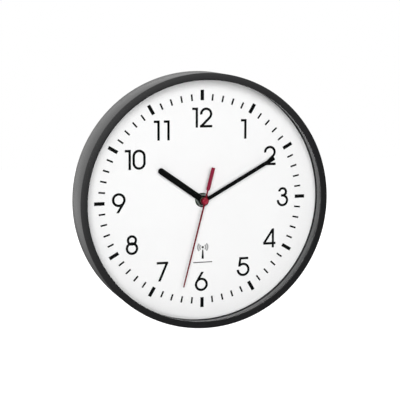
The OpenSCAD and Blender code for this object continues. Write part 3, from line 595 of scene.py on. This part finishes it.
glass = turned("glass_disc", [
    (0, glass_back),
    (glass_r - ground_edge, glass_back),
    (glass_r, glass_back + ground_edge),
    (glass_r, glass_front - ground_edge),
    (glass_r - ground_edge, glass_front),
    (0, glass_front),
])
fitted(glass, "clock_case", "clear_glass", clear_glass(), "front_glass")

# Carrier plate and hanger. Two mouldings of matt black ABS with a spark-eroded face; the plate snaps
# into the case with its ribs to the wall, and shows the round marks of the ejector pins of its tool.
pin_mark_r = 3.2
pin_mark_t = 0.15
pin_mark_root = 0.1
pin_mark_floor = 0.03
pin_mark_rim = 0.3
pin_mark_slope = 0.1
pin_mark_seats = [(92, 8, 0), (42, 6, 30)]
plate_back = -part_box("hanger_bracket")[0].y / MM


def back_plastic():
    finish = Finish("black_back_plastic")
    cloud = finish.blotches(45)
    sparks = finish.pits(0.6)
    dust = finish.span(finish.blotches(3, 5), 0.55, 0.8)
    colour = finish.tint(cloud, (0.024, 0.024, 0.025), (0.034, 0.034, 0.035))
    colour = finish.tint(dust * 0.2, colour, (0.10, 0.098, 0.095))
    return finish.done(colour, 0.46 + cloud * 0.12 + dust * 0.1, finish.relief(sparks, 0.02))


back_finish = back_plastic()
plate_moulding = softened("plate_moulding", "carrier_plate", edge=0.25)
pin_marks = []
for mark_r, mark_count, mark_start in pin_mark_seats:
    pin_mark = turned("pin_mark", [
        (0, plate_back + pin_mark_root),
        (pin_mark_r, plate_back + pin_mark_root),
        (pin_mark_r, plate_back - pin_mark_t),
        (pin_mark_r - pin_mark_rim, plate_back - pin_mark_t),
        (pin_mark_r - pin_mark_rim - pin_mark_slope, plate_back - pin_mark_floor),
        (0, plate_back - pin_mark_floor),
    ], sides=32, centre=seat(mark_r, 0))
    pin_marks.append(ringed(pin_mark, mark_count, mark_start))
plate_moulding = joined("plate_moulding", plate_moulding, *pin_marks)
fitted(plate_moulding, "clock_case", "black_back_plastic", back_finish, "carrier_plate")
hanger = softened("hanger_moulding", "hanger_bracket", edge=0.35)
fitted(hanger, "clock_case", "black_back_plastic", back_finish, "hanger_bracket")

# Hanger screws. Two pan-head screws of zinc-plated steel with a cross recess, whose plating has dulled in
# spots. They are driven through the hanger into the carrier plate.


def plated_steel(name, light, dark, roughness, spots=2.5):
    finish = Finish(name)
    cloud = finish.blotches(spots, 3)
    grain = finish.blotches(0.12, 2)
    colour = finish.tint(finish.span(cloud, 0.35, 0.7), light, dark)
    return finish.done(colour, roughness + cloud * 0.15, finish.relief(grain, 0.002), Metallic=1.0)


screw_pair = softened("screw_pair", "hanger_screws", edge=0.2)
screw_steel = plated_steel("screw_steel", (0.62, 0.62, 0.60), (0.42, 0.42, 0.41), 0.3)
fitted(screw_pair, "clock_case", "screw_steel", screw_steel, "hanger_screws")

# Washer and nut. They clamp the movement's bush to the dial: a dished washer of dark blued steel and a
# nickel-plated hexagon nut whose corners are turned off.
washer_low, washer_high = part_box("bush_washer")
washer_rim = 0.2
washer_r = washer_high.x / MM + washer_rim
washer_back = -washer_high.y / MM
washer_front = -washer_low.y / MM
washer_round = 0.2
dish_from = 60
bush_r = 4.1
bore_bevel = 0.2
bore_fall = 0.1


def blued_steel():
    finish = Finish("blued_steel")
    rings = finish.blotches(0.35, 2)
    cloud = finish.blotches(3)
    colour = finish.tint(cloud, (0.15, 0.19, 0.17), (0.21, 0.26, 0.23))
    return finish.done(colour, 0.16 + cloud * 0.1, finish.relief(rings, 0.001), Metallic=1.0)


washer = turned("dished_washer", [
    (bush_r, washer_back + bore_fall),
    (washer_r - washer_round, washer_back),
    *arc(washer_r - washer_round, washer_back + washer_round, washer_round, -90, dish_from, steps=4),
    (bush_r + bore_bevel, washer_front),
    (bush_r, washer_front - bore_fall),
], sides=96)
fitted(washer, "clock_case", "nut_metal", blued_steel(), "bush_washer")
nut = softened("hexagon_nut", "bush_nut", edge=0.3, segments=3)
nut_metal = plated_steel("nut_metal", (0.50, 0.54, 0.51), (0.40, 0.43, 0.40), 0.26)
fitted(nut, "clock_case", "nut_metal", nut_metal, "bush_nut")

# Hour and minute hands. Stamped from aluminium 0.4 mm thick and thickly painted matt black, each riveted
# to a turned brass collet that is pressed on its pipe.
paint_t = 0.12
stamped_edge = 0.08
collet_edge = 0.1
lathe_lines = 40


def hand_black():
    finish = Finish("hand_black")
    cloud = finish.blotches(12)
    grain = finish.blotches(0.3, 2)
    colour = finish.tint(cloud, (0.001, 0.001, 0.001), (0.0025, 0.0025, 0.0025))
    return finish.done(colour, 0.5 + cloud * 0.15, finish.relief(grain, 0.003), Specular_IOR_Level=0.03)


def turned_brass():
    finish = Finish("collet_brass")
    cloud = finish.blotches(1.5)
    lathe = finish.node("ShaderNodeMath", {"operation": "SINE"}, {0: finish.radius() * lathe_lines})
    colour = finish.tint(cloud, (0.30, 0.24, 0.16), (0.42, 0.34, 0.23))
    return finish.done(colour, 0.35 + cloud * 0.15, finish.relief(lathe, 0.002), Metallic=1.0)


hand_finish = hand_black()
brass = turned_brass()
for hand, drive in (("hour_hand", "hour_drive"), ("minute_hand", "minute_drive")):
    blade = softened(hand + "_blade", hand, edge=stamped_edge, spread=paint_t)
    fitted(blade, drive, "hand_black", hand_finish, hand)
    collet = softened(hand + "_sleeve", hand + "_collet", edge=collet_edge)
    fitted(collet, drive, "collet_brass", brass, hand + "_collet")

# Second hand. The same sheet in crimson paint, its long blade a little wider at the tip. It hangs on a
# moulded crimson cap that is pressed on the thin arbor and has a raised rim round a shallow dimple.
cap_low, cap_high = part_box("second_hand_hub")
cap_back = -cap_high.y / MM
cap_front = -cap_low.y / MM
blade_front = -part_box("second_hand")[0].y / MM
cap_r = 2.8
cap_tube_r = 1.3
cap_bore_r = 0.6
cap_bore_l = 1.3
cap_foot_round = 0.15
rim_round = 0.55
rim_turn = 150
dimple = 0.7
dimple_r = 0.8
dimple_rise = 0.06
tail_from = (8.5, 9.5)
tip_from_r = 80
tip_widening = 1.27


def crimson_paint():
    finish = Finish("hand_red")
    cloud = finish.blotches(8)
    grain = finish.blotches(0.25, 2)
    in_tail = finish.span(finish.along("z") - axis.z / MM, *tail_from)
    colour = finish.tint(cloud, (0.20, 0.009, 0.030), (0.25, 0.013, 0.042))
    colour = finish.tint(in_tail, (0.15, 0.003, 0.012), colour)
    return finish.done(colour, 0.4 + cloud * 0.15, finish.relief(grain, 0.003), Specular_IOR_Level=0.2)


def crimson_plastic():
    finish = Finish("hub_red")
    cloud = finish.blotches(3)
    grain = finish.blotches(0.4, 1)
    colour = finish.tint(cloud, (0.29, 0.009, 0.027), (0.34, 0.013, 0.036))
    return finish.done(colour, 0.12 + cloud * 0.1, finish.relief(grain, 0.002))


second_blade = softened("second_hand_blade", "second_hand", edge=stamped_edge, spread=paint_t)
bpy.ops.object.mode_set(mode="EDIT")
bpy.ops.mesh.select_all(action="DESELECT")
bpy.ops.object.mode_set(mode="OBJECT")
tip = [v for v in second_blade.data.vertices if math.hypot(v.co.x, v.co.z - axis.z) > tip_from_r * MM]
for vertex in tip:
    vertex.select = True
bpy.ops.object.mode_set(mode="EDIT")
bpy.ops.transform.resize(value=(tip_widening, 1, tip_widening),
                         center_override=sum((v.co for v in tip), Vector()) / len(tip))
bpy.ops.object.mode_set(mode="OBJECT")
fitted(second_blade, "second_drive", "hand_red", crimson_paint(), "second_hand")
cap = turned("second_hand_cap", [
    (0, cap_front - cap_bore_l),
    (cap_bore_r, cap_front - cap_bore_l),
    (cap_bore_r, cap_back),
    (cap_tube_r, cap_back),
    (cap_tube_r, blade_front),
    *arc(cap_r - cap_foot_round, blade_front + cap_foot_round, cap_foot_round, -90, 0, steps=2),
    *arc(cap_r - rim_round, cap_front - rim_round, rim_round, 0, rim_turn, steps=9),
    (dimple_r, cap_front - dimple + dimple_rise),
    (0, cap_front - dimple),
], sides=64)
fitted(cap, "second_drive", "hub_red", crimson_plastic(), "second_hand_hub")

# Movement case. A front half with the threaded bush and a rear cover, both moulded in matt black ABS and
# snapped together. The cover has a blank label recess, a collar round each button and the poles of the
# cell, all moulded on.
cover_back = -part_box("movement_rear_cover")[1].y / MM
raised_t = 0.25
root = 0.2
button_row = (-16, 0, 16)
button_row_y = -21
collar_in = 2.6
collar_out = 3.6
collar_draft = 0.2
pole_at = (25, -24.5)
pole_arm = 1.5
pole_bar = 0.4
pole_round = 0.15
pole_edge = 0.05
label_at = (0, 7)
label_size = (44, 26)
label_round = 2.0
label_border = 0.9
label_depth = 0.2
at_the_wall = 0.99


def rounded(x, y, width, height, corner, level):
    """The outline of a rectangle about (x, y) from the hand axis, a level over the wall, all in mm."""
    side = width / 2 - corner
    top = height / 2 - corner
    points = []
    for i, (right_of, above) in enumerate(((1, 1), (-1, 1), (-1, -1), (1, -1))):
        points += arc(x + right_of * side, y + above * top, corner, 90 * i, 90 * i + 90)
    return [axis + Vector((a * MM, -level * MM - axis.y, b * MM)) for a, b in points]


def sunk(piece, border, depth):
    """Sinks the face that looks at the wall inside a border, both in mm."""
    bpy.ops.object.select_all(action="DESELECT")
    piece.select_set(True)
    bpy.context.view_layer.objects.active = piece
    for face in piece.data.polygons:
        face.select = face.normal.y > at_the_wall
    bpy.ops.object.mode_set(mode="EDIT")
    bpy.ops.mesh.select_mode(type="FACE")
    bpy.ops.mesh.inset(thickness=border * MM, depth=-depth * MM)
    bpy.ops.mesh.select_mode(type="VERT")
    bpy.ops.object.mode_set(mode="OBJECT")
    return piece


outwards = Vector((0, (raised_t + root) * MM, 0))
front_case = softened("front_case_moulding", "movement_front_case", edge=0.15, flats=False)
fitted(front_case, "clock_case", "black_back_plastic", back_finish, "movement_front_case")
collar = turned("button_collar", [
    (collar_in, cover_back + root),
    (collar_in, cover_back - raised_t),
    (collar_out - collar_draft, cover_back - raised_t),
    (collar_out, cover_back + root),
], sides=48, centre=axis + Vector((0, 0, button_row_y * MM)))
collars = copied(collar, [Matrix.Translation((x * MM, 0, 0)) for x in button_row])
label_frame = sunk(
    plate("label_frame", rounded(*label_at, *label_size, label_round, cover_back + root), outwards),
    label_border, label_depth)
quarter = [(pole_arm, -pole_bar), (pole_arm, pole_bar), (pole_bar, pole_bar)]
plus = plate("plus_pole", [
    axis + Vector(((pole_at[0] + a * turn[0] - b * turn[1]) * MM, -(cover_back + root) * MM - axis.y,
                   (pole_at[1] + a * turn[1] + b * turn[0]) * MM))
    for turn in ((1, 0), (0, 1), (-1, 0), (0, -1)) for a, b in quarter
], outwards, edge=pole_edge)
minus = plate("minus_pole", rounded(
    -pole_at[0], pole_at[1], 2 * pole_arm, 2 * pole_bar, pole_round, cover_back + root
), outwards, edge=pole_edge)
bare_cover = softened("rear_cover", "movement_rear_cover", edge=0.25)
rear_cover = joined("rear_cover_moulding", bare_cover, collars, label_frame, plus, minus)
fitted(rear_cover, "clock_case", "black_back_plastic", back_finish, "movement_rear_cover")

# Middle plate, wheels and arbor. Plate, wheels and rotor pinions are moulded in natural acetal, the wheels
# with their pivots on. The second wheel is pressed on a thin arbor of ground steel.


def acetal():
    finish = Finish("gear_plastic")
    cloud = finish.blotches(5)
    grain = finish.blotches(0.2, 2)
    colour = finish.tint(cloud, (0.72, 0.70, 0.62), (0.80, 0.79, 0.72))
    return finish.done(colour, 0.38 + cloud * 0.12, finish.relief(grain, 0.002))


painted(acetal(), "movement_middle_plate", "hour_wheel", "minute_wheel", "reversing_wheel", "third_wheel",
        "second_wheel", "intermediate_wheel", "second_rotor_pinion", "minute_rotor_pinion")
painted(plated_steel("arbor_steel", (0.65, 0.65, 0.66), (0.5, 0.5, 0.51), 0.2, spots=1.0), "second_arbor")

# Motors and antenna. Two small stepping motors: a sintered ferrite magnet in an iron frame, and a nylon
# bobbin wound with enamelled copper wire. The antenna is a ferrite rod in a winding of the same wire.
wire_d = 0.25


def ferrite():
    finish = Finish("magnet_ferrite")
    grit = finish.blotches(0.25, 4)
    colour = finish.tint(grit, (0.035, 0.035, 0.037), (0.075, 0.075, 0.08))
    return finish.done(colour, 0.5 + grit * 0.2, finish.relief(grit, 0.01))


def copper_wire():
    finish = Finish("copper_wire")
    across = finish.node("ShaderNodeMath", {"operation": "SINE"},
                         {0: finish.along("x") * (math.tau / wire_d)})
    cloud = finish.blotches(4)
    colour = finish.tint(finish.span(across, -1, 1), (0.22, 0.07, 0.02), (0.62, 0.25, 0.09))
    return finish.done(colour, 0.25 + cloud * 0.15, finish.relief(across, 0.05), Metallic=0.9)


def nylon():
    finish = Finish("bobbin_plastic")
    cloud = finish.blotches(3)
    colour = finish.tint(cloud, (0.72, 0.71, 0.66), (0.80, 0.80, 0.76))
    return finish.done(colour, 0.4 + cloud * 0.15, finish.relief(finish.blotches(0.3), 0.003))


painted(ferrite(), "second_rotor_magnet", "minute_rotor_magnet", "antenna_rod")
painted(plated_steel("stator_iron", (0.48, 0.48, 0.49), (0.34, 0.34, 0.35), 0.35, spots=1.5),
        "second_stator", "minute_stator")
painted(nylon(), "second_coil_bobbin", "minute_coil_bobbin")
painted(copper_wire(), "second_coil_winding", "minute_coil_winding", "antenna_winding")

# Board. Glass fibre with copper tracks under a green solder mask. The receiver chip is bonded to it under a
# blob of black epoxy; two quartz crystals in nickel cans and three push switches are soldered on.
track_cells = 260.0
track_w = 0.09
epoxy_cloud = 1.8


def solder_mask():
    finish = Finish("board_green")
    tracks = finish.span(finish.node("ShaderNodeTexBrick", {"offset": 0.5}, {
        "Vector": finish.place, "Scale": track_cells, "Mortar Size": track_w,
        "Color1": (0, 0, 0, 1), "Color2": (0, 0, 0, 1), "Mortar": (1, 1, 1, 1)}), 0.2, 0.8)
    cloud = finish.blotches(5)
    colour = finish.tint(tracks, (0.02, 0.12, 0.05), (0.05, 0.24, 0.10))
    return finish.done(colour, 0.25 + cloud * 0.12, finish.relief(tracks, 0.03))


def epoxy(name, colour, roughness):
    finish = Finish(name)
    cloud = finish.blotches(2)
    shade = finish.tint(cloud, colour, tuple(c * epoxy_cloud for c in colour))
    return finish.done(shade, roughness + cloud * 0.15, finish.relief(finish.blotches(0.5), 0.01))


painted(solder_mask(), "circuit_board")
painted(epoxy("chip_black", (0.008, 0.008, 0.008), 0.15), "receiver_chip")
painted(epoxy("switch_black", (0.02, 0.02, 0.02), 0.4), "board_switches")
nickel = plated_steel("contact_steel", (0.68, 0.68, 0.67), (0.55, 0.55, 0.54), 0.18, spots=1.5)
painted(nickel, "crystals")

# Battery bay. A size AA cell lies across the bottom of the movement: a steel can in a printed sleeve that
# is crimped over its ends, between a knob contact and a sprung leaf of nickel-plated steel.
cell_low, cell_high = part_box("battery")
cell_r = (cell_high.z - cell_low.z) / 2 / MM
cell_l = (cell_high.x - cell_low.x) / MM
cell_centre = (cell_low + cell_high) / 2
can_round = 0.6
nub_l = 1.0
nub_r = 2.75
nub_round = 0.3
nub_flare = 0.4
sleeve_t = 0.15
sleeve_end = (1.0, 0.9)
crimp_low = (1.6, 1.8)
crimp_high = (3.2, 3.0)
bottom_rim = (2.2, 1.9)
bottom_sunk = 0.35
top_rim = (1.4, 1.7)
top_sunk = (0.1, 0.5)
band_from = (14.5, 14.3)
strip_edge = 0.08


def sleeved_steel():
    finish = Finish("battery_can")
    off_axis = finish.node("ShaderNodeVectorMath", {"operation": "LENGTH"}, {0: finish.node(
        "ShaderNodeMapping", inputs={"Vector": finish.place, "Scale": (0, 1 / MM, 1 / MM),
                                     "Location": (0, -cell_centre.y / MM, -cell_centre.z / MM)})},
        output="Value")
    bare = finish.span(off_axis, cell_r - sleeve_end[0], cell_r - sleeve_end[1], 1, 0)
    band = finish.span(finish.along("x"), cell_l / 2 - band_from[0], cell_l / 2 - band_from[1])
    cloud = finish.blotches(6)
    sleeve = finish.tint(band, (0.02, 0.035, 0.06), (0.50, 0.52, 0.54))
    steel = finish.tint(cloud, (0.55, 0.55, 0.54), (0.66, 0.66, 0.65))
    colour = finish.tint(bare, sleeve, steel)
    return finish.done(colour, 0.25 + cloud * 0.12, finish.relief(finish.blotches(0.6), 0.006),
                       Metallic=bare * 0.9 + 0.1)


def laid(profile):
    """Turns the profile of a cell, (radius, place along it) in mm, about its own length."""
    chain([cell_centre + Vector((x * MM - cell_l / 2 * MM, 0, r * MM)) for r, x in profile])
    bpy.ops.mesh.spin(steps=64, angle=math.tau, center=cell_centre, axis=(1, 0, 0))
    return closed_up("dry_cell")


can_end = cell_l - nub_l
cell = laid([
    (0, bottom_sunk),
    (cell_r - bottom_rim[0], bottom_sunk),
    (cell_r - bottom_rim[1], 0),
    *arc(cell_r - can_round, can_round, can_round, -90, 0),
    (cell_r, crimp_low[0]),
    (cell_r - sleeve_t, crimp_low[1]),
    (cell_r - sleeve_t, can_end - crimp_high[0]),
    (cell_r, can_end - crimp_high[1]),
    *arc(cell_r - can_round, can_end - can_round, can_round, 0, 90),
    (cell_r - top_rim[0], can_end - top_sunk[0]),
    (cell_r - top_rim[1], can_end - top_sunk[1]),
    (nub_r + nub_flare, can_end - top_sunk[1]),
    (nub_r, can_end - nub_round),
    *arc(nub_r - nub_round, cell_l - nub_round, nub_round, 0, 90),
    (0, cell_l),
])
fitted(cell, "battery", "battery_can", sleeved_steel(), "battery")
knob_strip = softened("knob_strip", "positive_contact", edge=strip_edge)
fitted(knob_strip, "clock_case", "contact_steel", nickel, "positive_contact")
leaf_strip = softened("leaf_strip", "negative_contact", edge=strip_edge)
fitted(leaf_strip, "clock_case", "contact_steel", nickel, "negative_contact")

# Buttons. Three caps moulded in grey ABS, with a finely matt face. Each stands a hair out of the rear cover
# and slides in its hole onto its switch.


def button_plastic():
    finish = Finish("button_grey")
    cloud = finish.blotches(2)
    colour = finish.tint(cloud, (0.33, 0.33, 0.34), (0.40, 0.40, 0.41))
    return finish.done(colour, 0.42 + cloud * 0.12, finish.relief(finish.blotches(0.25), 0.006))


button_finish = button_plastic()
for button in ("reset_button", "set_button", "signal_button"):
    button_cap = softened(button + "_cap", button, edge=0.15)
    fitted(button_cap, button, "button_grey", button_finish, button)
